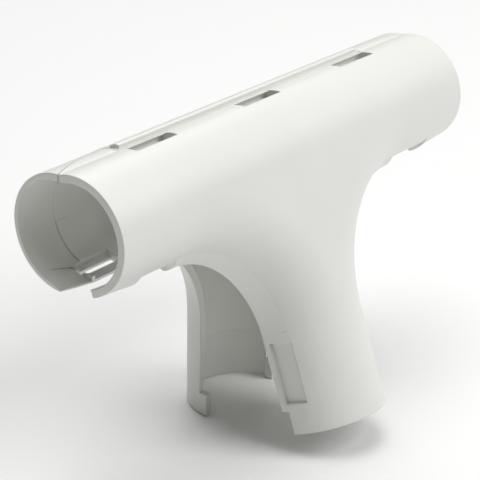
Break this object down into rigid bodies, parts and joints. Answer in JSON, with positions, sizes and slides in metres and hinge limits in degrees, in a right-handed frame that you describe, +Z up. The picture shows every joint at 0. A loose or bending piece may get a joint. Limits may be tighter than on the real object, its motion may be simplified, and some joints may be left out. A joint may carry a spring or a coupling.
{
  "type": "conduit tee fitting",
  "caption": "Swept tee for round cable conduit, in two hinged half shells that swing open along the top and snap shut underneath.",
  "frame": {"origin": "where the run's axis meets the branch's axis, with the shells closed", "axes": "+X along the run, +Z up with the branch pointing down, -Y to the front shell"},
  "size_m": [0.133, 0.0566, 0.0839],
  "materials": {
    "shell_white": "off-white moulded plastic, satin"
  },
  "bodies": {
    "rear": {"rear_shell": "shell_white"},
    "front": {"front_shell": "shell_white"}
  },
  "joints": [
    {"name": "shell_hinge", "type": "hinge", "parent": "rear", "child": "front", "pos_m": [0, 0, 0.0148], "axis": [-1, 0, 0], "range_deg": [-20, 15]}
  ]
}
